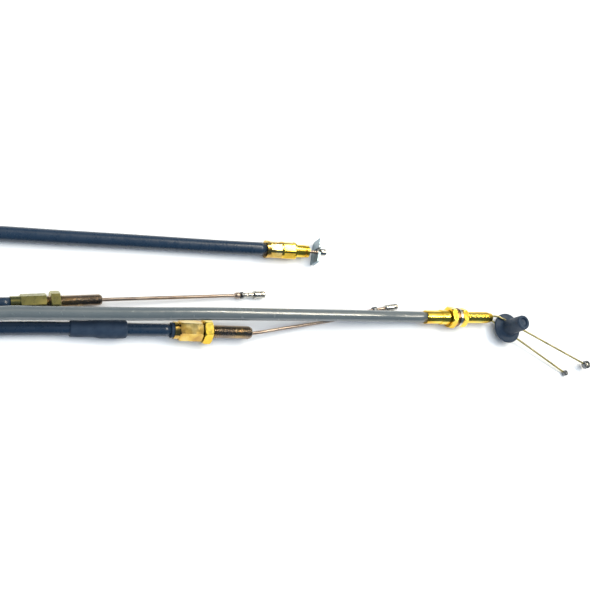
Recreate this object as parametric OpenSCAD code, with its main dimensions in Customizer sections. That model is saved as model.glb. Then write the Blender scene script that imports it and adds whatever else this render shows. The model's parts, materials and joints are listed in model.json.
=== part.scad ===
// Throttle cable set of a motorcycle: a twin-wire twist-grip cable, a splitter box and
// three output cables, laid out on a flat surface. Millimetres, +X along the cables
// towards their free ends, +Z up.

/* [Casings] */
// Diameter of the casing of the pump cable
pump_casing_d = 6.4; // [6:0.1:6.8]
// Diameter of the casing of the left carburettor cable
left_casing_d = 5; // [4.8:0.1:5.4]
// Diameter of the casing of the right carburettor cable
right_casing_d = 5.6; // [5.2:0.1:5.8]
// Diameter of the grey casing of the twist-grip cable
grip_casing_d = 5.7; // [5.2:0.1:5.8]

/* [Wires] */
// Diameter of the inner wire of each carburettor cable and of the pump cable
output_wire_d = 1.6; // [1.4:0.1:1.7]
// Diameter of each of the two inner wires of the twist-grip cable
grip_wire_d = 1.1; // [0.9:0.1:1.2]

/* [Adjusters] */
// Thread of the left adjuster
left_thread_d = 5; // [4.9:0.05:5]
// Width across flats of the left lock nut
left_nut_af = 8; // [7.5:0.1:8]
// Width across flats of the left adjuster body
left_body_af = 6.4; // [6:0.1:6.6]
// Thread of the right adjuster and of the twist-grip end
main_thread_d = 6; // [5.9:0.05:6]
// Width across flats of the right lock nut and of the twist-grip outer nut
main_nut_af = 10; // [9:0.1:10]
// Width across flats of the right adjuster body
right_body_af = 8.2; // [7.8:0.1:8.4]
// Width across flats of the thin nut on the twist-grip end
thin_nut_af = 9; // [8.6:0.1:9.4]

/* [Splitter box] */
// Length of the box along the cables
box_l = 48; // [46:1:52]
// Width of the box
box_w = 32; // [31:1:34]
// Height of the box with its cover
box_h = 14; // [13.5:0.1:15]

/* [Wire plug] */
// Diameter of the plug's flange
plug_flange_d = 16; // [15:0.2:16.6]
// Height of the plug's stem above its flange
plug_stem_h = 13; // [10:0.5:15]

/* [Hidden] */
$fn = 48;

// The layout is drawn about the middle of the visible ends, then moved so that the
// origin is at the bottom centre of the whole set.
layout_centre = [-84.525, -16.597, 0];

// Where each end fitting starts on its cable, and its turn about Z.
pump_at = [-17.5, 23.7, 4.4];
pump_yaw = -1.5;
left_at = [-132, -2.4, 4];
left_yaw = 2.3;
right_at = [-66.8, -14.8, 5];
right_yaw = -3;
grip_at = [67, -10.3, 5];
grip_yaw = -1;

// Splitter box: its lowest corner side and the height and spread of its cable ports.
box_x = -295;
box_y = 3;
port_z = 7;
port_y = [12.5, 0, -12.5];
ferrule_out = 6;
wall = 4;
cover_h = 2;

// Routes of the casings, from the splitter box to the end fittings.
pump_route = [
    [-241, 15.5, 7], [-225, 16.2, 6], [-205, 20, 4.4], [-185, 24, 3.4], [-160, 27, 3.2],
    [-138, 27.4, 3.2], [-110, 26.6, 3.2], [-80, 25.8, 3.2], [-52, 24.8, 3.5], [-34, 24.1, 4.1],
    [-17.5, 23.7, 4.4]];
left_route = [
    [-241, 3, 7], [-225, 2.6, 6], [-205, 1.2, 4], [-182, -0.8, 2.7], [-158, -2.5, 3],
    [-132, -2.4, 4]];
right_route = [
    [-241, -9.5, 7], [-225, -9.7, 6], [-205, -10.6, 4], [-182, -11.6, 2.9], [-160, -12.3, 2.8],
    [-140, -12.5, 3], [-118, -12.9, 3.6], [-92, -13.9, 4.3], [-66.8, -14.8, 5]];
// The twist-grip casing passes over the right cable and turns back into the box.
turn_centre = [-307, -29];
turn_r = 32;
turn_z = [2.9, 2.9, 2.9, 3.2, 4, 5.2, 6.4];
grip_turn = [
    for (i = [0:6])
        [turn_centre.x - turn_r * sin(30 * i), turn_centre.y - turn_r * cos(30 * i), turn_z[i]]];
grip_lead = [
    [-290, -60.6, 2.9], [-270, -57, 2.9], [-248, -49, 3.2], [-226, -38, 5], [-204, -27, 8],
    [-182, -17.5, 11], [-160, -11.5, 12.6], [-137, -8.8, 12.9], [-122, -8.8, 12.8],
    [-106, -9, 12.6], [-80, -9.3, 12.2], [-54, -9.3, 11.6], [-28, -9.4, 10.2], [-5, -9.5, 8.8],
    [17, -9.6, 7.4], [38, -9.9, 6.4], [52, -10, 5.4], [67, -10.3, 5]];
grip_end = [-301, 3, 7];

// Routes of the bare inner wires, from inside their threaded tubes to their nipples.
right_wire_route = [
    [-32, -16.8, 5], [-28.7, -17, 5], [-22, -16.2, 4.8], [-14, -15, 4.4], [-1, -13.2, 3.6],
    [13, -11.2, 2.8], [26, -8.6, 2.4], [38, -5.9, 2.2], [45.6, -4.9, 2]];
grip_wire_a_route = [
    [88, -10.3, 5.7], [108.6, -10.6, 5.8], [110.6, -10.6, 6.4], [112.6, -11, 7], [114.6, -12, 7.1],
    [168.7, -37.6, 4.2]];
grip_wire_b_route = [
    [88, -11.1, 4.3], [108.4, -11.5, 4.3], [110, -12.5, 4.2], [155.6, -41.4, 1.5]];
plug_at = [118.3, -17, 4.8];
plug_flange_h = 1.4;
plug_stem_r = 4.2;

left_wire_pitch = 1.65;
wire_play = 0.25;
tube_bore_r = 2;

function unit(v) = v / norm(v);
function blend_point(a, b, c, d, t) =
    0.5 * (2 * b + (c - a) * t + (2 * a - 5 * b + 4 * c - d) * t * t
        + (3 * b - a - 3 * c + d) * t * t * t);
function smooth(p, steps) = [
    for (i = [0:len(p) - 2])
        for (k = [0:steps - 1])
            blend_point(p[max(i - 1, 0)], p[i], p[i + 1], p[min(i + 2, len(p) - 1)], k / steps),
    p[len(p) - 1]];
function heading(p, i) = unit(p[min(i + 1, len(p) - 1)] - p[max(i - 1, 0)]);
function ring_of(at, along, r, sides) =
    let (side = unit(cross([0, 0, 1], along)), up = cross(along, side))
    [for (k = [0:sides - 1])
        at + r * (cos(360 * k / sides) * side + sin(360 * k / sides) * up)];

// A plain round tube swept along a route.
module sweep(p, d, sides) {
    rings = len(p);
    points = [for (i = [0:rings - 1]) each ring_of(p[i], heading(p, i), d / 2, sides)];
    walls = [
        for (i = [0:rings - 2])
            for (k = [0:sides - 1])
                let (a = i * sides + k, b = i * sides + (k + 1) % sides)
                [a, a + sides, b + sides, b]];
    first_cap = [for (k = [0:sides - 1]) k];
    last_cap = [for (k = [sides - 1:-1:0]) (rings - 1) * sides + k];
    polyhedron(points, concat([first_cap], walls, [last_cap]));
}

// Moves a drawing from the layout to the set's own origin.
module laid_out() {
    translate(-layout_centre) children();
}

// Stands a fitting on its cable: local Z runs along the cable.
module on_cable(at, yaw) {
    laid_out() translate(at) rotate([0, 90, yaw]) children();
}

module pipe(d, bore_d, from, to) {
    translate([0, 0, from]) difference() {
        cylinder(d = d, h = to - from);
        translate([0, 0, -1]) cylinder(d = bore_d, h = to - from + 2);
    }
}

// A hexagon across flats af with its corners chamfered at both ends.
module hex_pipe(af, bore_d, from, to) {
    h = to - from;
    corner = af / sqrt(3);
    cut = (corner - af / 2) * 0.8;
    translate([0, 0, from]) difference() {
        intersection() {
            rotate(30) cylinder(r = corner, h = h, $fn = 6);
            rotate_extrude() polygon([
                [0, 0], [corner - cut, 0], [corner + 0.01, cut + 0.01],
                [corner + 0.01, h - cut - 0.01], [corner - cut, h], [0, h]]);
        }
        translate([0, 0, -1]) cylinder(d = bore_d, h = h + 2);
    }
}

// A threaded tube, slimmer under its nuts, with its free thread from free_from on.
module threaded_tube(d, bore_d, from, free_from, to, chamfer) {
    difference() {
        union() {
            translate([0, 0, from]) cylinder(d = d - 0.1, h = free_from - from);
            translate([0, 0, free_from]) cylinder(d = d, h = to - free_from - chamfer);
            translate([0, 0, to - chamfer]) cylinder(d1 = d, d2 = d - 1.2, h = chamfer);
        }
        translate([0, 0, from - 1]) cylinder(d = bore_d, h = to - from + 2);
    }
}

module box_at(low, size) {
    translate(low) cube(size);
}

// ---- Splitter box ----
screw_inset = 5.6;
screw_x = [screw_inset, box_l - screw_inset];
screw_y = [screw_inset - box_w / 2, box_w / 2 - screw_inset];
cavity_l = 38;
cavity_w = 30.4 - wall * 1.6;
cavity_x = (box_l - cavity_l) / 2;

module in_box() {
    laid_out() translate([box_x, box_y, 0]) children();
}

module screw_places() {
    for (x = screw_x)
        for (y = screw_y)
            translate([x, y, 0]) children();
}

module splitter_housing() {
    color("black") in_box() difference() {
        box_at([0, -box_w / 2, 0], [box_l, box_w, box_h - cover_h]);
        difference() {
            box_at([cavity_x, -cavity_w / 2, 2.4], [cavity_l, cavity_w, box_h]);
            screw_places() cylinder(r = 3.2, h = box_h);
        }
        for (y = port_y)
            translate([box_l - wall - 1, y, port_z]) rotate([0, 90, 0]) cylinder(d = 5, h = wall + 2);
        translate([-1, 0, port_z]) rotate([0, 90, 0]) cylinder(d = 5, h = wall + 2);
        screw_places() translate([0, 0, 4]) cylinder(d = 2.3, h = box_h);
    }
}

module splitter_cover() {
    color("black") in_box() difference() {
        box_at([0, -box_w / 2, box_h - cover_h], [box_l, box_w, cover_h]);
        screw_places() translate([0, 0, box_h - cover_h - 1]) cylinder(d = 2.7, h = cover_h + 2);
    }
}

module cover_screws() {
    color("silver") in_box() screw_places() {
        translate([0, 0, box_h - cover_h - 6]) cylinder(d = 2.3 - 0.02, h = 6 + cover_h);
        translate([0, 0, box_h]) difference() {
            cylinder(d1 = 4.6, d2 = 3.6, h = 1.4);
            box_at([-3, -0.35, 0.7], [6, 0.7, 1]);
            box_at([-0.35, -3, 0.7], [0.7, 6, 1]);
        }
    }
}

slider_l = 12;
slider_x = box_l - cavity_x - slider_l - 2;
output_nipple_y = [-4.4, 0, 4.4];
input_nipple_y = [-2.4, 2.4];
nipple_floor = 4.6;

// Three output nipples and two twist-grip nipples stand in the slider's seats.
module nipple_seats(d, h) {
    for (y = output_nipple_y)
        translate([slider_x + 8.5, y, nipple_floor]) cylinder(d = d, h = h);
    for (y = input_nipple_y)
        translate([slider_x + 3, y, nipple_floor]) cylinder(d = d, h = h);
}

module splitter_slider() {
    color("ivory") in_box() difference() {
        box_at([slider_x, -6.6, 3], [slider_l, 13.2, 7.6]);
        nipple_seats(3.6, 10);
    }
}

module slider_nipples() {
    color("silver") in_box() nipple_seats(3.5, 5.4);
}

// A stepped ferrule: its spigot fits the box's port and its flange carries the casing.
module port_ferrule(d) {
    pipe(4.96, 2.6, -wall, 0);
    pipe(d, 2.6, 0, ferrule_out);
}

module pump_port_ferrule() {
    color("black") on_cable([box_x + box_l, box_y + port_y[0], port_z], 0) port_ferrule(8.4);
}

module left_port_ferrule() {
    color("black") on_cable([box_x + box_l, box_y + port_y[1], port_z], 0) port_ferrule(7.4);
}

module right_port_ferrule() {
    color("black") on_cable([box_x + box_l, box_y + port_y[2], port_z], 0) port_ferrule(7.8);
}

module grip_port_ferrule() {
    color("black") on_cable([box_x, box_y, port_z], 180) port_ferrule(8);
}

// ---- Pump cable ----
pump_sleeve_l = 8.1;
pump_step = [15.2, 20.2, 21, 22.4];
pump_clip_u = 27.2;
pump_tip_u = 28.9;
clip_w = 12.4;
clip_down = 4.3;
clip_up = 4;
clip_t = 1.2;
clip_slot_w = 2.4;

module pump_casing() {
    color("black") laid_out() sweep(smooth(pump_route, 2), pump_casing_d, 10);
}

module pump_sleeve() {
    color("gold") on_cable(pump_at, pump_yaw) difference() {
        union() {
            pipe(8.4, 3.2, 0, 1.2);
            pipe(8, 3.2, 1.2, pump_sleeve_l);
        }
        for (side = [0:60:300])
            rotate(side) translate([3.75, -2, 2]) cube([2, 4, pump_sleeve_l - 2.6]);
    }
}

module pump_end_body() {
    color("goldenrod") on_cable(pump_at, pump_yaw) {
        difference() {
            union() {
                pipe(8.2, 3.2, pump_sleeve_l, pump_step[0]);
                pipe(6.2, 3.2, pump_step[0], pump_step[1]);
                pipe(4.6, 3.2, pump_step[1], pump_step[2]);
                pipe(5.9, 3.2, pump_step[2], pump_step[3]);
            }
            for (side = [0:60:300])
                rotate(side) translate([3.8, -2.2, pump_sleeve_l + 0.6]) cube([2, 4.4, 5.8]);
        }
    }
}

module pump_wire() {
    color("silver") on_cable(pump_at, pump_yaw)
        translate([0, 0, 8]) cylinder(d = output_wire_d, h = pump_tip_u - 8);
}

module pump_nipple() {
    color("silver") on_cable(pump_at, pump_yaw) translate([0, 0, pump_tip_u]) {
        cylinder(d = 3.6, h = 2.8);
        translate([0, 0, 2.8]) cylinder(d1 = 3.6, d2 = 2.8, h = 0.5);
    }
}

// The horseshoe clip stands across the wire with its slot open at the top.
module pump_clip() {
    color("lightsteelblue") on_cable(pump_at, pump_yaw) translate([0, 0, pump_clip_u])
        rotate([14, 0, 0]) translate([0, 0, -clip_t / 2]) linear_extrude(clip_t) difference() {
            union() {
                translate([-clip_up, -clip_w / 2]) square([clip_up + clip_down - 2, clip_w]);
                translate([0, 2 - clip_w / 2]) square([clip_down, clip_w - 4]);
                for (y = [2 - clip_w / 2, clip_w / 2 - 2])
                    translate([clip_down - 2, y]) circle(r = 2);
            }
            circle(d = clip_slot_w);
            translate([-clip_up - 1, -clip_slot_w / 2]) square([clip_up + 1, clip_slot_w]);
        }
}

// ---- Left carburettor cable ----
left_neck_l = 3.8;
left_body_end = 13.9;
left_nut_from = 15.5;
left_nut_to = 19.3;
left_tube_end = 36.5;
left_wire_u = 37;
left_bore_d = left_thread_d - 1.8;

module left_casing() {
    color("black") laid_out() sweep(smooth(left_route, 2), left_casing_d, 10);
}

module left_adjuster_body() {
    color("darkkhaki") on_cable(left_at, left_yaw) {
        difference() {
            union() {
                pipe(5.6, 2.6, 0, left_neck_l + 0.5);
                hex_pipe(left_body_af, 2.6, left_neck_l, left_body_end);
            }
            translate([0, 0, 6]) cylinder(d = left_thread_d + 2 * wire_play, h = 20);
        }
    }
}

module left_adjuster_tube() {
    color("saddlebrown") on_cable(left_at, left_yaw)
        threaded_tube(left_thread_d, left_bore_d, 8, left_nut_to + 0.6, left_tube_end, 1.2);
}

module left_lock_nut() {
    color("olive") on_cable(left_at, left_yaw)
        hex_pipe(left_nut_af, left_thread_d + 0.16, left_nut_from, left_nut_to);
}

// The bare wire leaves the tube's centre and drops gently to the surface.
module left_bare_wire() {
    on_cable(left_at, left_yaw) translate([0, 0, left_wire_u]) rotate([0, left_wire_pitch, 0])
        children();
}

module left_wire() {
    color("rosybrown") left_bare_wire() translate([0, 0, -3]) cylinder(d = output_wire_d, h = 73.4);
}

module left_wire_collar() {
    color("rosybrown") left_bare_wire() pipe(2.9, output_wire_d, 61.2, 63.1);
}

module left_wire_ring() {
    color("dimgray") left_bare_wire() {
        pipe(3.3, output_wire_d, 63.8, 64.9);
        pipe(2.2, output_wire_d, 64.9, 70.4);
    }
}

module left_nipple() {
    color("silver") left_bare_wire() translate([0, 0, 70.4]) {
        cylinder(d = 3.7, h = 0.9);
        translate([0, 0, 0.9]) cylinder(d = 3.3, h = 4.3);
        translate([0, 0, 5.2]) cylinder(d1 = 3.3, d2 = 2.5, h = 0.5);
    }
}

// ---- Right carburettor cable ----
right_ferrule_end = 3.6;
right_body_end = 14;
right_nut_to = 18.2;
right_tube_end = 37.4;
boot_at = [-109.2, -13.24, 3.83];
boot_turn = [88.4, -2.1];
boot_l = 23.4;

module right_casing() {
    color("black") laid_out() sweep(smooth(right_route, 2), right_casing_d, 10);
}

module right_boot() {
    color("black") laid_out() translate(boot_at) rotate([0, boot_turn[0], boot_turn[1]])
        difference() {
            union() {
                cylinder(r1 = 3.5, r2 = 4, h = 11.5);
                translate([0, 0, 11.5]) cylinder(r = 4, h = boot_l - 12.3);
                translate([0, 0, boot_l - 0.8]) cylinder(r1 = 4, r2 = 3.6, h = 0.8);
            }
            translate([0, 0, -1]) cylinder(d = right_casing_d + 0.5, h = boot_l + 2);
        }
}

module right_seal_ring() {
    color("black") on_cable(right_at, right_yaw) pipe(6.6, 2.6, 0, 1.3);
}

module right_adjuster_body() {
    color("goldenrod") on_cable(right_at, right_yaw) difference() {
        union() {
            pipe(7.6, 2.6, 1.3, right_ferrule_end + 0.5);
            hex_pipe(right_body_af, 2.6, right_ferrule_end, right_body_end);
        }
        translate([0, 0, 5]) cylinder(d = main_thread_d + 2 * wire_play, h = 20);
    }
}

module right_adjuster_tube() {
    color("saddlebrown") on_cable(right_at, right_yaw)
        threaded_tube(main_thread_d, 2 * tube_bore_r, 7, right_nut_to + 0.6, right_tube_end, 1.4);
}

module right_lock_nut() {
    color("gold") on_cable(right_at, right_yaw)
        hex_pipe(main_nut_af, main_thread_d + 0.16, right_body_end + 0.4, right_nut_to);
}

module right_wire() {
    color("rosybrown") laid_out() sweep(right_wire_route, output_wire_d, 8);
}

right_wire_end = right_wire_route[8];
right_tip_yaw = 8;

module right_wire_ring() {
    color("dimgray") laid_out() translate([38.4, -5.83, 2.18]) rotate([0, 91, 10])
        pipe(3, output_wire_d + 0.1, 0, 2.2);
}

module right_nipple() {
    color("silver") laid_out() translate(right_wire_end) rotate([0, 91, right_tip_yaw]) {
        cylinder(d = 3.2, h = 7);
        translate([0, 0, 7]) cylinder(d1 = 3.2, d2 = 2.4, h = 0.6);
    }
}

// ---- Twist-grip cable ----
grip_sleeve_l = 14;
outer_nut = [14.2, 17.3];
lock_washer = [17.6, 18.9];
flat_washer = [19.3, 20.7];
thin_nut = [21.1, 24.3];
grip_tube_end = 41.6;

module grip_casing() {
    color("gray") laid_out()
        sweep(concat([grip_end], [for (i = [6:-1:0]) grip_turn[i]], smooth(grip_lead, 2)),
            grip_casing_d, 10);
}

module grip_sleeve() {
    color("gold") on_cable(grip_at, grip_yaw) {
        pipe(6.9, 4, 0, 9);
        pipe(7.6, 4, 9, grip_sleeve_l - 0.2);
    }
}

module grip_threaded_tube() {
    color("gold") on_cable(grip_at, grip_yaw)
        threaded_tube(
            main_thread_d, 2 * tube_bore_r, grip_sleeve_l - 0.2, thin_nut[1] + 0.6, grip_tube_end, 3);
}

module grip_outer_nut() {
    color("gold") on_cable(grip_at, grip_yaw)
        hex_pipe(main_nut_af, main_thread_d + 0.16, outer_nut[0], outer_nut[1]);
}

module grip_lock_washer() {
    color("peru") on_cable(grip_at, grip_yaw)
        pipe(9.4, main_thread_d + 0.16, lock_washer[0], lock_washer[1]);
}

module grip_flat_washer() {
    color("lightyellow") on_cable(grip_at, grip_yaw)
        pipe(9.8, main_thread_d + 0.16, flat_washer[0], flat_washer[1]);
}

module grip_thin_nut() {
    color("gold") on_cable(grip_at, grip_yaw)
        hex_pipe(thin_nut_af, main_thread_d + 0.16, thin_nut[0], thin_nut[1]);
}

module grip_wire_a() {
    color("khaki") laid_out() sweep(grip_wire_a_route, grip_wire_d, 8);
}

module grip_wire_b() {
    color("khaki") laid_out() sweep(grip_wire_b_route, grip_wire_d, 8);
}

module grip_nipple_a() {
    color("gray") laid_out() translate([170.6, -38.5, 2.7]) cylinder(d = 4.4, h = 3);
}

module grip_nipple_b() {
    color("gray") laid_out() translate([156.7, -42.1, 0.3]) cylinder(d = 3, h = 2.4);
}

// A rubber plug threaded on wire A, whose stem stands up beside the wire.
module wire_plug() {
    along = grip_wire_a_route[5] - grip_wire_a_route[4];
    color("darkslategray") laid_out() difference() {
        translate(plug_at) {
            cylinder(d = plug_flange_d, h = plug_flange_h);
            translate([0, 0, plug_flange_h]) cylinder(r1 = plug_stem_r, r2 = plug_stem_r - 0.4, h = plug_stem_h);
        }
        translate(plug_at + [0, 0, plug_flange_h + plug_stem_h - 1.2]) cylinder(d = 4.2, h = 2);
        translate(grip_wire_a_route[4]) rotate([0, 90 + asin(-along.z / norm(along)), atan2(along.y, along.x)])
            translate([0, 0, -4]) cylinder(d = grip_wire_d + 0.4, h = 20);
    }
}

splitter_housing();
splitter_cover();
cover_screws();
splitter_slider();
slider_nipples();
pump_port_ferrule();
left_port_ferrule();
right_port_ferrule();
grip_port_ferrule();
pump_casing();
pump_sleeve();
pump_end_body();
pump_wire();
pump_clip();
pump_nipple();
left_casing();
left_adjuster_body();
left_adjuster_tube();
left_lock_nut();
left_wire();
left_wire_collar();
left_wire_ring();
left_nipple();
right_casing();
right_boot();
right_seal_ring();
right_adjuster_body();
right_adjuster_tube();
right_lock_nut();
right_wire();
right_wire_ring();
right_nipple();
grip_casing();
grip_sleeve();
grip_threaded_tube();
grip_outer_nut();
grip_lock_washer();
grip_flat_washer();
grip_thin_nut();
grip_wire_a();
grip_wire_b();
grip_nipple_a();
grip_nipple_b();
wire_plug();
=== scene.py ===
"""A motorcycle throttle cable set: casings, stranded wires, plated adjusters and a rubber plug."""
import json
import math

import bmesh
import bpy
from mathutils import Matrix, Vector


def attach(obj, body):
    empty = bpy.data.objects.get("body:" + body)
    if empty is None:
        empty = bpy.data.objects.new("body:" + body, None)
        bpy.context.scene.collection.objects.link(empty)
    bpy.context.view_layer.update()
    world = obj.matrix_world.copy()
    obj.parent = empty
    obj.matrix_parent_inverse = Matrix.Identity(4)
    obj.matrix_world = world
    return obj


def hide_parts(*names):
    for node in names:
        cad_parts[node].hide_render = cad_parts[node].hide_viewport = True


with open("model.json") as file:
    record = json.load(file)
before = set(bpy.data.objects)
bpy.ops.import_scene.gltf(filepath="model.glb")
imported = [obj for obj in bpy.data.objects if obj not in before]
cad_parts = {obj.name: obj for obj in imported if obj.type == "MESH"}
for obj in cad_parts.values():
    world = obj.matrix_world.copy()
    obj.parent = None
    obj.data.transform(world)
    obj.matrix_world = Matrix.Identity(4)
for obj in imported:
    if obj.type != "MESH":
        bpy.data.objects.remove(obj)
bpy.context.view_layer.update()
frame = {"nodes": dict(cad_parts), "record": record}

MM = 0.001
LAYOUT_CENTRE = Vector((-84.525, -16.597, 0.0))


def place(point):
    """A point of the layout, in millimetres, as a point of the row frame, in metres."""
    return (Vector(point) - LAYOUT_CENTRE) * MM


# ---------------------------------------------------------------- camera
CAMERA_TILT = math.radians(26)
CAMERA_PITCH = math.radians(15)
CAMERA_DISTANCE = 0.384
LENS = 48


def make_camera():
    """A camera left of the visible ends and a little in front, looking down at them."""
    right = Vector((1, 0, 0))
    up = Vector((0, math.cos(CAMERA_PITCH), math.sin(CAMERA_PITCH)))
    down = Vector((0, math.sin(CAMERA_PITCH), -math.cos(CAMERA_PITCH)))
    look = math.cos(CAMERA_TILT) * down + math.sin(CAMERA_TILT) * right
    across = math.cos(CAMERA_TILT) * right - math.sin(CAMERA_TILT) * down
    data = bpy.data.cameras.new("camera")
    data.lens = LENS
    data.sensor_width = 36
    data.clip_start = 0.01
    camera = bpy.data.objects.new("camera", data)
    turn = Matrix((across, up, -look)).transposed()
    camera.matrix_world = Matrix.Translation(place((0, 0, 0)) - look * CAMERA_DISTANCE) @ turn.to_4x4()
    bpy.context.collection.objects.link(camera)
    bpy.context.scene.camera = camera


make_camera()

# ---------------------------------------------------------------- routes, as in part.scad
PUMP_ROUTE = [
    (-241, 15.5, 7), (-225, 16.2, 6), (-205, 20, 4.4), (-185, 24, 3.4), (-160, 27, 3.2),
    (-138, 27.4, 3.2), (-110, 26.6, 3.2), (-80, 25.8, 3.2), (-52, 24.8, 3.5), (-34, 24.1, 4.1),
    (-17.5, 23.7, 4.4)]
LEFT_ROUTE = [
    (-241, 3, 7), (-225, 2.6, 6), (-205, 1.2, 4), (-182, -0.8, 2.7), (-158, -2.5, 3), (-132, -2.4, 4)]
RIGHT_ROUTE = [
    (-241, -9.5, 7), (-225, -9.7, 6), (-205, -10.6, 4), (-182, -11.6, 2.9), (-160, -12.3, 2.8),
    (-140, -12.5, 3), (-118, -12.9, 3.6), (-92, -13.9, 4.3), (-66.8, -14.8, 5)]
TURN_CENTRE = (-307, -29)
TURN_R = 32
TURN_Z = [2.9, 2.9, 2.9, 3.2, 4, 5.2, 6.4]
GRIP_TURN = [
    (TURN_CENTRE[0] - TURN_R * math.sin(math.radians(30 * i)),
     TURN_CENTRE[1] - TURN_R * math.cos(math.radians(30 * i)), TURN_Z[i])
    for i in range(7)]
GRIP_LEAD = [
    (-290, -60.6, 2.9), (-270, -57, 2.9), (-248, -49, 3.2), (-226, -38, 5), (-204, -27, 8),
    (-182, -17.5, 11), (-160, -11.5, 12.6), (-137, -8.8, 12.9), (-122, -8.8, 12.8),
    (-106, -9, 12.6), (-80, -9.3, 12.2), (-54, -9.3, 11.6), (-28, -9.4, 10.2), (-5, -9.5, 8.8),
    (17, -9.6, 7.4), (38, -9.9, 6.4), (52, -10, 5.4), (67, -10.3, 5)]
GRIP_END = (-301, 3, 7)
RIGHT_WIRE_ROUTE = [
    (-32, -16.8, 5), (-28.7, -17, 5), (-22, -16.2, 4.8), (-14, -15, 4.4), (-1, -13.2, 3.6),
    (13, -11.2, 2.8), (26, -8.6, 2.4), (38, -5.9, 2.2), (45.6, -4.9, 2)]
GRIP_WIRE_A_ROUTE = [
    (88, -10.3, 5.7), (108.6, -10.6, 5.8), (110.6, -10.6, 6.4), (112.6, -11, 7), (114.6, -12, 7.1),
    (168.7, -37.6, 4.2)]
GRIP_WIRE_B_ROUTE = [
    (88, -11.1, 4.3), (108.4, -11.5, 4.3), (110, -12.5, 4.2), (155.6, -41.4, 1.5)]


def smooth(route, steps):
    """Points along a smooth line through a route, steps to a stretch."""
    last = len(route) - 1
    points = []
    for i in range(last):
        a, b, c, d = (Vector(route[min(max(k, 0), last)]) for k in (i - 1, i, i + 1, i + 2))
        for k in range(steps):
            t = k / steps
            points.append(0.5 * (2 * b + (c - a) * t + (2 * a - 5 * b + 4 * c - d) * t * t
                                 + (3 * b - a - 3 * c + d) * t ** 3))
    points.append(Vector(route[last]))
    return points


def resample(points, step):
    """Points at equal steps along a line of points, ends included."""
    lengths = [0.0]
    for a, b in zip(points, points[1:]):
        lengths.append(lengths[-1] + (b - a).length)
    count = max(2, round(lengths[-1] / step))
    found, k = [], 0
    for i in range(count + 1):
        s = lengths[-1] * i / count
        while k < len(points) - 2 and lengths[k + 1] < s:
            k += 1
        t = (s - lengths[k]) / max(lengths[k + 1] - lengths[k], 1e-9)
        found.append(points[k].lerp(points[k + 1], min(t, 1)))
    return found


# ---------------------------------------------------------------- mesh helpers
def frames_along(path):
    """For each point of a path, two directions across it that don't twist."""
    last = len(path) - 1
    headings = [(path[min(i + 1, last)] - path[max(i - 1, 0)]).normalized() for i in range(len(path))]
    side = headings[0].cross(Vector((0, 0, 1)))
    if side.length < 0.1:
        side = headings[0].cross(Vector((0, 1, 0)))
    found = []
    for heading in headings:
        side = (side - heading * side.dot(heading)).normalized()
        found.append((side, side.cross(heading)))
    return found


def new_object(name, bm, smooth_shading=True):
    mesh = bpy.data.meshes.new(name)
    bm.to_mesh(mesh)
    bm.free()
    if smooth_shading:
        mesh.polygons.foreach_set("use_smooth", [True] * len(mesh.polygons))
    piece = bpy.data.objects.new(name, mesh)
    bpy.context.collection.objects.link(piece)
    return piece


def ring_mesh(bm, rows):
    """Joins rows of vertices into a closed ring of faces, the last row to the first."""
    for i, row in enumerate(rows):
        following = rows[(i + 1) % len(rows)]
        for k in range(len(row)):
            n = (k + 1) % len(row)
            bm.faces.new((row[k], row[n], following[n], following[k]))
    bmesh.ops.recalc_face_normals(bm, faces=bm.faces)


def skin_rings(bm, rings, spacing):
    """Joins rings of points into a closed tube with a UV: round in u, metres along in v."""
    uv = bm.loops.layers.uv.new("along")
    sides = len(rings[0])
    rows = [[bm.verts.new(p) for p in ring] for ring in rings]
    along = 0.0
    for i in range(len(rows) - 1):
        step = spacing[i]
        for k in range(sides):
            n = (k + 1) % sides
            face = bm.faces.new((rows[i][k], rows[i][n], rows[i + 1][n], rows[i + 1][k]))
            corners = ((k, along), (k + 1, along), (k + 1, along + step), (k, along + step))
            for loop, (u, v) in zip(face.loops, corners):
                loop[uv].uv = (u / sides, v)
        along += step
    bm.faces.new(list(reversed(rows[0])))
    bm.faces.new(rows[-1])
    bmesh.ops.recalc_face_normals(bm, faces=bm.faces)


def tube(name, path, radius, sides=24):
    """A round tube along a path; radius is a number or a function of the angle and the length."""
    bm = bmesh.new()
    shape = radius if callable(radius) else (lambda angle, s: radius)
    spacing = [(b - a).length for a, b in zip(path, path[1:])]
    rings, s = [], 0.0
    for i, (point, (side, up)) in enumerate(zip(path, frames_along(path))):
        ring = []
        for k in range(sides):
            angle = 2 * math.pi * k / sides
            ring.append(point + shape(angle, s) * (math.cos(angle) * side + math.sin(angle) * up))
        rings.append(ring)
        if i < len(spacing):
            s += spacing[i]
    skin_rings(bm, rings, spacing)
    return new_object(name, bm)


def rounded(outline, radius, steps=3):
    """Rounds every corner of a closed outline of (radius, height) pairs."""
    found = []
    for i, corner in enumerate(outline):
        corner = Vector(corner)
        before = Vector(outline[i - 1]) - corner
        after = Vector(outline[(i + 1) % len(outline)]) - corner
        start = corner + before.normalized() * min(radius, before.length * 0.45)
        end = corner + after.normalized() * min(radius, after.length * 0.45)
        for k in range(steps + 1):
            t = k / steps
            found.append(start.lerp(corner, t).lerp(corner.lerp(end, t), t))
    return found


def lathe(name, outline, at, turn, sides=64, soften=0.15, wobble=0.0):
    """A closed solid of revolution from (radius, height) pairs in mm, its corners rounded."""
    bm = bmesh.new()
    rows = []
    for r, z in rounded(outline, soften):
        row = []
        for k in range(sides):
            angle = 2 * math.pi * k / sides
            waves = math.sin(2 * angle + 0.5 * z) + math.sin(3 * angle - 0.8 * z)
            r_here = r - wobble * (0.5 + 0.25 * waves)
            row.append(bm.verts.new((r_here * math.cos(angle), r_here * math.sin(angle), z)))
        rows.append(row)
    ring_mesh(bm, rows)
    bm.transform(Matrix.Translation(place(at)) @ turn @ Matrix.Scale(MM, 4))
    return new_object(name, bm)


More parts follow.
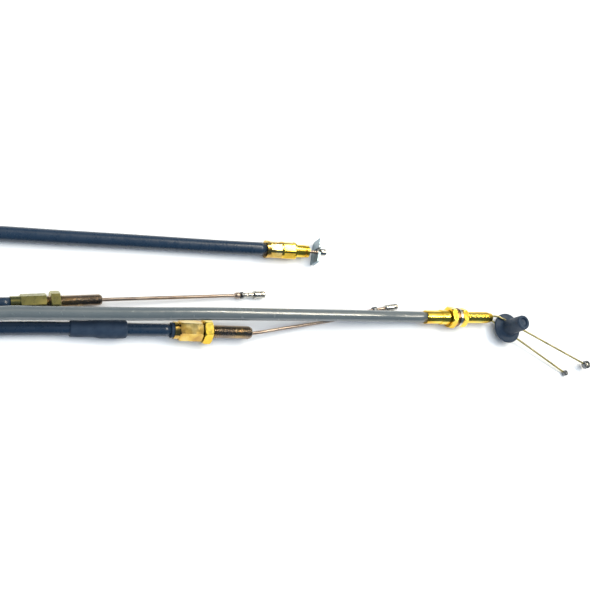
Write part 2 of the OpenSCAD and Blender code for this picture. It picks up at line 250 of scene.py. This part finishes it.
def screw_thread(name, at, turn, diameter, bore, start, thread_start, end, pitch, depth, chamfer, cone):
    """A tube with a helical thread outside, from thread_start to the chamfer at its end.

    chamfer is its length, and cone is how much it takes off the radius.
    """
    bm = bmesh.new()
    sides, rows_per_turn, crest_flat, plain_tip = 48, 7, 0.05, 0.15
    count = round((end - start) * rows_per_turn / pitch)
    rows = []
    for i in range(count + 1):
        z = start + (end - start) * i / count
        run_in = min(max((z - thread_start) / pitch, 0), 1)
        run_out = min(max((end - plain_tip - z) / pitch, 0), 1)
        fade = run_in * run_out
        limit = diameter / 2 - cone * max(0, (z - end + chamfer) / chamfer)
        row = []
        for k in range(sides):
            turn_part = (z / pitch - k / sides) % 1
            groove = depth * fade * (0.5 - 0.5 * math.cos(2 * math.pi * turn_part))
            r = min(diameter / 2 - crest_flat - groove + crest_flat * fade, limit)
            angle = 2 * math.pi * k / sides
            row.append(bm.verts.new((r * math.cos(angle), r * math.sin(angle), z)))
        rows.append(row)
    angles = [2 * math.pi * k / sides for k in range(sides)]
    for z in (end, start):
        rows.append([bm.verts.new((bore / 2 * math.cos(a), bore / 2 * math.sin(a), z)) for a in angles])
    ring_mesh(bm, rows)
    bm.transform(Matrix.Translation(place(at)) @ turn @ Matrix.Scale(MM, 4))
    piece = new_object(name, bm)
    for face in piece.data.polygons[-3 * sides:]:
        face.use_smooth = False
    return piece


def cable_turn(yaw, drop=0.0):
    """Turns local Z to run along a cable, yaw degrees about Z and drop degrees down."""
    return Matrix.Rotation(math.radians(yaw), 4, "Z") @ Matrix.Rotation(math.radians(90 + drop), 4, "Y")


# ---------------------------------------------------------------- materials
def nodes_of(name, base, metallic=0.0, roughness=0.4, specular=0.5):
    """A new material with its node tree and its shader."""
    material = bpy.data.materials.new(name)
    material.use_nodes = True
    tree = material.node_tree
    shader = tree.nodes["Principled BSDF"]
    shader.inputs["Base Color"].default_value = (*base, 1)
    shader.inputs["Metallic"].default_value = metallic
    shader.inputs["Roughness"].default_value = roughness
    shader.inputs["Specular IOR Level"].default_value = specular
    return material, tree, shader


def noise(tree, scale, detail=4.0, roughness=0.55, stretch=(1, 1, 1)):
    """Noise in the piece's own coordinates."""
    places = tree.nodes.new("ShaderNodeTexCoord")
    mapping = tree.nodes.new("ShaderNodeMapping")
    mapping.inputs["Scale"].default_value = stretch
    texture = tree.nodes.new("ShaderNodeTexNoise")
    texture.inputs["Scale"].default_value = scale
    texture.inputs["Detail"].default_value = detail
    texture.inputs["Roughness"].default_value = roughness
    tree.links.new(places.outputs["Object"], mapping.inputs["Vector"])
    tree.links.new(mapping.outputs["Vector"], texture.inputs["Vector"])
    return texture.outputs["Fac"]


def ramp(tree, value, stops):
    """stops are (position, colour) pairs; the output is a colour."""
    node = tree.nodes.new("ShaderNodeValToRGB")
    elements = node.color_ramp.elements
    while len(elements) < len(stops):
        elements.new(0.5)
    for element, (position, colour) in zip(elements, stops):
        element.position = position
        element.color = (*colour, 1)
    tree.links.new(value, node.inputs["Fac"])
    return node.outputs["Color"]


def vary_roughness(tree, shader, value, low, high):
    grey = ramp(tree, value, [(0.3, (low,) * 3), (0.7, (high,) * 3)])
    tree.links.new(grey, shader.inputs["Roughness"])


def bump(tree, shader, height, strength, distance):
    """Adds a bump on top of those that the shader has already."""
    node = tree.nodes.new("ShaderNodeBump")
    node.inputs["Strength"].default_value = strength
    node.inputs["Distance"].default_value = distance
    tree.links.new(height, node.inputs["Height"])
    previous = shader.inputs["Normal"].links
    if previous:
        tree.links.new(previous[0].from_socket, node.inputs["Normal"])
    tree.links.new(node.outputs["Normal"], shader.inputs["Normal"])


def casing_material(name, dark, light, roughness, rib_strength, specular):
    """Extruded plastic over wound wire: faint rings along it and a fine speckle."""
    material, tree, shader = nodes_of(name, dark, roughness=roughness, specular=specular)
    blotch = noise(tree, 90, 5, 0.6)
    tree.links.new(ramp(tree, blotch, [(0.35, dark), (0.7, light)]), shader.inputs["Base Color"])
    vary_roughness(tree, shader, noise(tree, 420, 3), roughness - 0.07, roughness + 0.1)
    places = tree.nodes.new("ShaderNodeTexCoord")
    rings = tree.nodes.new("ShaderNodeTexWave")
    rings.bands_direction = "Y"
    rings.inputs["Scale"].default_value = 180
    rings.inputs["Distortion"].default_value = 0.0
    tree.links.new(places.outputs["UV"], rings.inputs["Vector"])
    bump(tree, shader, rings.outputs["Fac"], rib_strength, 0.0002)
    bump(tree, shader, noise(tree, 1500, 2), rib_strength, 0.0001)
    return material


def plated_material(name, roughness, *stops):
    """Plated metal: its tint wanders between stops, and it is finely turned."""
    material, tree, shader = nodes_of(name, stops[0][1], metallic=1.0, roughness=roughness)
    tree.links.new(ramp(tree, noise(tree, 130, 3, 0.5), stops), shader.inputs["Base Color"])
    vary_roughness(tree, shader, noise(tree, 500, 4), roughness - 0.05, roughness + 0.08)
    bump(tree, shader, noise(tree, 900, 3, 0.5, stretch=(1, 0.25, 0.25)), 0.12, 0.0001)
    return material


def moulded_material(name, dark, light, roughness):
    """Moulded rubber or plastic: cloudy, matt in patches and finely grained."""
    material, tree, shader = nodes_of(name, dark, roughness=roughness, specular=0.3)
    cloud = noise(tree, 160, 6, 0.65)
    tree.links.new(ramp(tree, cloud, [(0.35, dark), (0.68, light)]), shader.inputs["Base Color"])
    vary_roughness(tree, shader, noise(tree, 380, 4), roughness - 0.1, roughness + 0.14)
    bump(tree, shader, noise(tree, 2200, 3), 0.18, 0.0001)
    bump(tree, shader, noise(tree, 260, 4), 0.15, 0.0002)
    return material


# Each row: slot, dark and light colour, roughness, strength of the rings, specular level
CASINGS = [
    ("black_casing", (0.011, 0.026, 0.050), (0.014, 0.031, 0.058), 0.28, 0.04, 0.6),
    ("grey_casing", (0.102, 0.122, 0.128), (0.116, 0.134, 0.138), 0.19, 0.01, 1.0)]
# Each row: slot, dark and light colour, roughness
MOULDED = [
    ("black_plastic", (0.022, 0.024, 0.028), (0.042, 0.044, 0.050), 0.42),
    ("slider_plastic", (0.68, 0.64, 0.52), (0.76, 0.72, 0.62), 0.4),
    ("black_rubber", (0.016, 0.031, 0.058), (0.030, 0.050, 0.082), 0.6),
    ("plug_rubber", (0.014, 0.027, 0.050), (0.034, 0.055, 0.085), 0.52)]
# Each row: slot, roughness, then the tints by where they come in the noise
PLATED = [
    ("yellow_zinc", 0.2, (0.3, (0.74, 0.42, 0.05)), (0.5, (0.86, 0.60, 0.07)), (0.72, (0.90, 0.74, 0.16))),
    ("bronze_plate", 0.18, (0.35, (0.48, 0.27, 0.08)), (0.5, (0.72, 0.48, 0.11)), (0.65, (0.84, 0.66, 0.26))),
    ("olive_zinc", 0.28, (0.3, (0.22, 0.21, 0.08)), (0.55, (0.34, 0.31, 0.11)), (0.75, (0.52, 0.44, 0.14))),
    ("dark_thread", 0.22, (0.3, (0.22, 0.18, 0.15)), (0.52, (0.32, 0.24, 0.16)), (0.7, (0.54, 0.36, 0.16))),
    ("steel", 0.24, (0.3, (0.48, 0.47, 0.42)), (0.7, (0.66, 0.64, 0.58))),
    ("dark_steel", 0.34, (0.3, (0.12, 0.13, 0.14)), (0.7, (0.26, 0.27, 0.28))),
    ("clip_steel", 0.34, (0.3, (0.16, 0.22, 0.26)), (0.7, (0.26, 0.33, 0.37))),
    ("wire_strand", 0.36, (0.3, (0.38, 0.29, 0.23)), (0.7, (0.58, 0.48, 0.40))),
    ("thin_wire_strand", 0.36, (0.3, (0.46, 0.40, 0.16)), (0.7, (0.66, 0.58, 0.30))),
    ("washer_bronze", 0.3, (0.3, (0.34, 0.16, 0.06)), (0.7, (0.50, 0.28, 0.12))),
    ("washer_pale", 0.28, (0.3, (0.60, 0.55, 0.42)), (0.7, (0.76, 0.72, 0.60)))]
MATERIALS = {
    row[0]: make(*row)
    for make, rows in (
        (casing_material, CASINGS), (moulded_material, MOULDED), (plated_material, PLATED))
    for row in rows}


def finish(piece, slot, body, *replaced):
    """Gives a new piece its material, its body and the CAD nodes that it stands for."""
    piece.data.materials.clear()
    piece.data.materials.append(MATERIALS[slot])
    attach(piece, body)
    if replaced:
        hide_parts(*replaced)
    return piece


# ---------------------------------------------------------------- cords
CASING_STEP = 0.003  # metres between the rings of a casing


def casing(name, route, diameter, node, slot="black_casing"):
    """An outer casing from the splitter's port, where its route starts, to its end fitting."""
    path = resample([place(p) for p in smooth(route, 12)], CASING_STEP)
    piece = finish(tube(name, path, diameter * MM / 2, sides=32), slot, "casings", node)


casing("pump_cable_casing", PUMP_ROUTE, 6.4, "pump_casing")
casing("left_cable_casing", LEFT_ROUTE, 5, "left_casing")
casing("right_cable_casing", RIGHT_ROUTE, 5.6, "right_casing")
casing("grip_cable_casing", [GRIP_END] + GRIP_TURN[::-1] + GRIP_LEAD, 5.7, "grip_casing",
       slot="grey_casing")

STRANDS = 6
STRAND_STEP = 0.0004  # metres between the rings of a stranded wire
WIRE_LAY, THIN_WIRE_LAY = 0.007, 0.005  # metres in which the strands turn once


def strands(radius, lay):
    """The outline of a wire rope whose strands turn once in lay metres."""
    def shape(angle, s):
        ridge = abs(math.cos(0.5 * STRANDS * (angle - 2 * math.pi * s / lay)))
        return radius * (0.8 + 0.2 * ridge)
    return shape


def stranded_tube(name, points, diameter, lay):
    path = resample(points, STRAND_STEP)
    return tube(name, path, strands(diameter * MM / 2, lay), sides=36), path


def bare_wire(name, points, diameter, node, body, slot, lay=WIRE_LAY):
    """A wire from inside the mouth of its tube to the fittings at its tip."""
    piece, path = stranded_tube(name, points, diameter, lay)
    finish(piece, slot, body, node)


def direction(yaw, drop=0.0):
    """The direction that a cable at this yaw and drop runs in."""
    return cable_turn(yaw, drop).to_3x3() @ Vector((0, 0, 1))


# ---------------------------------------------------------------- fittings
LEFT_AT, LEFT_YAW = Vector((-132, -2.4, 4)), 2.3
RIGHT_AT, RIGHT_YAW = Vector((-66.8, -14.8, 5)), -3
GRIP_AT, GRIP_YAW = Vector((67, -10.3, 5)), -1
PUMP_AT, PUMP_YAW = Vector((-17.5, 23.7, 4.4)), -1.5
LEFT_DROP = 1.65
LEFT_TIP = 70.4  # from where the left wire leaves its tube to its nipple
LEFT_MOUTH = LEFT_AT + direction(LEFT_YAW) * 37
LEFT_TURN = cable_turn(LEFT_YAW, LEFT_DROP)
PUMP_TIP = 28.9  # from the end of the pump casing to its nipple
GRIP_TIP_A = (170.6, -38.5, 0)
GRIP_TIP_B = (156.7, -42.1, 0)
UPRIGHT = Matrix.Identity(4)
WIRE_D, THIN_WIRE_D = 1.6, 1.1
AXIS = 0.01  # a bore too small to see, so that a solid can be turned as a ring


def pipe_outline(outer, inner, start, end):
    return [(outer, start), (outer, end), (inner, end), (inner, start)]


# Threaded tubes: diameter, bore, start, start of the thread, end, pitch, depth, chamfer, cone
finish(screw_thread("left_thread", LEFT_AT, cable_turn(LEFT_YAW), 5, 3.2, 8, 12, 36.5, 0.8, 0.34, 1.2, 0.6),
       "dark_thread", "left_tube", "left_adjuster_tube")
finish(screw_thread("right_thread", RIGHT_AT, cable_turn(RIGHT_YAW), 6, 4, 7, 12, 37.4, 1, 0.4, 1.4, 0.6),
       "dark_thread", "right_tube", "right_adjuster_tube")
finish(screw_thread("grip_thread", GRIP_AT, cable_turn(GRIP_YAW), 6, 4, 13.8, 14.2, 41.6, 0.75, 0.1, 3, 0.6),
       "yellow_zinc", "casings", "grip_threaded_tube")

# Rubber boot on the right casing, and the plug that stands on wire A
outline = [(3.4, 0), (3.5, 5), (3.62, 10), (4, 12.4), (4, 17), (4, 22.4), (3.6, 23.4), (3.05, 23.4),
           (3.05, 12), (3.05, 0)]
boot = lathe("rubber_boot", outline, (-109.2, -13.24, 3.83), cable_turn(-2.1, -1.6), soften=0.7, wobble=0.12)
finish(boot, "black_rubber", "boot", "right_boot")
outline = [(AXIS, 0), (7.9, 0), (8, 0.6), (7.8, 1.4), (5.2, 1.4), (4.25, 2.2), (4.15, 4), (3.95, 10),
           (3.8, 13.6), (3.4, 14.4), (2.5, 14.4), (2.1, 13.9), (2, 13.3), (AXIS, 13.2)]
plug = lathe("rubber_plug", outline, (118.3, -17, 4.8), UPRIGHT, sides=72, soften=0.4)
finish(plug, "plug_rubber", "plug", "wire_plug")


def left_fitting(name, outline, soften, slot, node):
    """A fitting on the left wire, its outline measured from where the wire leaves its tube."""
    return finish(lathe(name, outline, LEFT_MOUTH, LEFT_TURN, soften=soften), slot, "left_wire", node)


left_tips = [
    left_fitting("left_collar", pipe_outline(1.45, 0.8, 61.2, 63.1), 0.3, "wire_strand", "left_wire_collar"),
    left_fitting("left_ring", pipe_outline(1.65, 0.8, 63.8, 64.9), 0.25, "dark_steel", "left_wire_ring"),
    left_fitting("left_stem", [(1.1, 64.9), (1.1, 67), (1.0, 67.3), (1.1, 67.6), (1.1, LEFT_TIP),
                               (0.8, LEFT_TIP), (0.8, 64.9)], 0.15, "steel", "left_wire_ring"),
    left_fitting("left_barrel", [(AXIS, LEFT_TIP), (1.85, LEFT_TIP), (1.85, 71.3), (1.65, 71.35),
                                 (1.65, 73.4), (1.5, 73.55), (1.65, 73.7), (1.65, 75.6), (1.3, 76.1),
                                 (0.75, 76.1), (0.7, 75.7), (AXIS, 75.6)], 0.12, "steel", "left_nipple")]
left_line = [place(LEFT_MOUTH + direction(LEFT_YAW, LEFT_DROP) * u) for u in (-3, 20, 45, LEFT_TIP)]
bare_wire("left_stranded_wire", left_line, WIRE_D, "left_wire",
          "left_wire", "wire_strand")

right_ring = lathe("right_ring", pipe_outline(1.5, 0.85, 0, 2.2), (38.4, -5.83, 2.18), cable_turn(10, 1),
                   soften=0.3)
finish(right_ring, "dark_steel", "right_wire", "right_wire_ring")
outline = [(AXIS, 0), (1.4, 0), (1.6, 0.4), (1.6, 1.6), (1.45, 1.8), (1.6, 2), (1.6, 7), (1.25, 7.6),
           (0.8, 7.6), (0.7, 7.2), (AXIS, 7.1)]
right_barrel = lathe("right_barrel", outline, RIGHT_WIRE_ROUTE[-1], cable_turn(8, 1))
finish(right_barrel, "steel", "right_wire", "right_nipple")
bare_wire("right_stranded_wire", [place(p) for p in smooth(RIGHT_WIRE_ROUTE, 6)], WIRE_D,
          "right_wire", "right_wire", "wire_strand")

outline = [(1.15, 2.7), (1.9, 2.7), (2.2, 3), (2.2, 5.3), (1.8, 5.7), (1.4, 5.7), (1.15, 5.4)]
grip_barrel_a = lathe("grip_barrel_a", outline, GRIP_TIP_A, UPRIGHT, soften=0.25)
finish(grip_barrel_a, "dark_steel", "wire_a", "grip_nipple_a")
outline = [(AXIS, 2.9), (1.13, 2.9), (1.13, 5.3), (0.8, 5.6), (AXIS, 5.68)]
grip_solder_a = lathe("grip_solder_a", outline, GRIP_TIP_A, UPRIGHT, sides=32)
finish(grip_solder_a, "steel", "wire_a", "grip_nipple_a")
bare_wire("grip_stranded_wire_a", [place(p) for p in GRIP_WIRE_A_ROUTE], THIN_WIRE_D,
          "grip_wire_a", "wire_a", "thin_wire_strand", lay=THIN_WIRE_LAY)

outline = [(AXIS, 0.3), (1.2, 0.3), (1.5, 0.6), (1.5, 2.4), (1.1, 2.7), (0.7, 2.7), (0.6, 2.5), (AXIS, 2.45)]
grip_barrel_b = lathe("grip_barrel_b", outline, GRIP_TIP_B, UPRIGHT, soften=0.2)
finish(grip_barrel_b, "dark_steel", "wire_b", "grip_nipple_b")
bare_wire("grip_stranded_wire_b", [place(p) for p in GRIP_WIRE_B_ROUTE], THIN_WIRE_D,
          "grip_wire_b", "wire_b", "thin_wire_strand", lay=THIN_WIRE_LAY)

# The pump wire shows for a few millimetres, so it is a plain piece and not a free cord
pump_line = [place(PUMP_AT + direction(PUMP_YAW) * u) for u in (8, PUMP_TIP)]
finish(stranded_tube("pump_stranded_wire", pump_line, WIRE_D, WIRE_LAY)[0],
       "wire_strand", "pump_wire", "pump_wire")
outline = [(AXIS, PUMP_TIP), (1.6, PUMP_TIP), (1.8, 29.2), (1.8, 31.7), (1.4, 32.2), (0.8, 32.2),
           (0.7, 31.9), (AXIS, 31.8)]
finish(lathe("pump_barrel", outline, PUMP_AT, cable_turn(PUMP_YAW)), "steel", "pump_wire", "pump_nipple")


# ---------------------------------------------------------------- ribs on the splitter's cover
def rounded_bar(name, low, high):
    """A moulded bar between two corners of the layout, its edges rounded."""
    bm = bmesh.new()
    bmesh.ops.create_cube(bm, size=1)
    low, high = place(low), place(high)
    for vert in bm.verts:
        vert.co = (low + high) / 2 + Vector(c * (h - l) for c, l, h in zip(vert.co, low, high))
    bmesh.ops.bevel(bm, geom=bm.edges, offset=0.4 * MM, segments=3, affect="EDGES", profile=0.5)
    return new_object(name, bm)


BOX_X, BOX_Y = -295, 3
RIB_HALF_WIDTH, RIB_FROM, RIB_TO = 0.7, (11, 13.6), (37, 14.6)  # along the box, and up
for i, y in enumerate((-6, -2, 2, 6)):
    low = (BOX_X + RIB_FROM[0], BOX_Y + y - RIB_HALF_WIDTH, RIB_FROM[1])
    high = (BOX_X + RIB_TO[0], BOX_Y + y + RIB_HALF_WIDTH, RIB_TO[1])
    finish(rounded_bar(f"cover_rib_{i + 1}", low, high), "black_plastic", "casings")

# ---------------------------------------------------------------- CAD nodes keep their shapes
SLOT_OF = {part["node"]: part["material_slot"] for part in frame["record"]["subparts"]}
ROUNDED_EDGES = {  # width of the rounding, in mm
    "splitter_housing": 0.9, "splitter_cover": 0.6, "cover_screws": 0.12, "pump_clip": 0.2,
    "left_adjuster_body": 0.3, "right_adjuster_body": 0.4, "left_lock_nut": 0.25, "right_lock_nut": 0.25,
    "grip_outer_nut": 0.25, "grip_thin_nut": 0.2, "grip_lock_washer": 0.2, "grip_flat_washer": 0.2,
    "grip_sleeve": 0.2, "pump_sleeve": 0.25, "pump_end_body": 0.2, "pump_port_ferrule": 0.4,
    "left_port_ferrule": 0.4, "right_port_ferrule": 0.4, "grip_port_ferrule": 0.4, "right_seal_ring": 0.3}
for node_name, width in ROUNDED_EDGES.items():
    bevel = frame["nodes"][node_name].modifiers.new("rounded", "BEVEL")
    bevel.width = width * MM
    bevel.segments = 3
    bevel.limit_method = "ANGLE"
    bevel.angle_limit = math.radians(25)
    bevel.harden_normals = True

for node_name, node_object in frame["nodes"].items():
    material = MATERIALS[SLOT_OF[node_name]]
    if not node_object.material_slots:
        node_object.data.materials.append(material)
    for material_slot in node_object.material_slots:
        material_slot.material = material


# ---------------------------------------------------------------- stage and lights
def make_stage():
    """A white floor, a hair below what lies on it."""
    bm = bmesh.new()
    bmesh.ops.create_grid(bm, x_segments=1, y_segments=1, size=3)
    floor = new_object("floor", bm, smooth_shading=False)
    floor.location.z = -0.2 * MM
    material, _, _ = nodes_of("floor_white", (0.9, 0.9, 0.9), roughness=0.6, specular=0.2)
    floor.data.materials.append(material)


VISIBLE_MIDDLE = place((20, 0, 0))


def make_lamp(name, reach, size, size_y, power, colour, mirrored=True):
    """An area lamp aimed at the middle of the visible ends, reach metres from it."""
    data = bpy.data.lights.new(name, "AREA")
    data.shape = "RECTANGLE"
    data.size, data.size_y = size, size_y
    data.energy = power
    data.color = colour
    lamp = bpy.data.objects.new(name, data)
    lamp.visible_glossy = mirrored
    reach = Vector(reach)
    lamp.matrix_world = (Matrix.Translation(VISIBLE_MIDDLE + reach)
                         @ reach.to_track_quat("Z", "Y").to_matrix().to_4x4())
    bpy.context.collection.objects.link(lamp)


def make_world():
    """A room that is dim and bluish, with a warm pale band behind and above the cables."""
    world = bpy.data.worlds.new("room")
    world.use_nodes = True
    tree = world.node_tree
    places = tree.nodes.new("ShaderNodeTexCoord")
    parts = tree.nodes.new("ShaderNodeSeparateXYZ")
    tree.links.new(places.outputs["Generated"], parts.inputs["Vector"])
    sky = ramp(tree, parts.outputs["Y"], [
        (0.0, (0.08, 0.13, 0.22)), (0.3, (0.40, 0.42, 0.44)),
        (0.5, (0.80, 0.74, 0.64)), (0.8, (0.22, 0.27, 0.36))])
    tree.links.new(sky, tree.nodes["Background"].inputs["Color"])
    tree.nodes["Background"].inputs["Strength"].default_value = 1.0
    bpy.context.scene.world = world
    bpy.context.scene.view_settings.view_transform = "Standard"


make_stage()
make_lamp("key", (0.50, 0.20, 0.85), 0.8, 0.06, 7, (1.0, 0.91, 0.74))
make_lamp("fill", (-0.2, 0.0, 1.3), 1.6, 1.6, 22, (0.90, 0.96, 1.0), mirrored=False)
make_world()
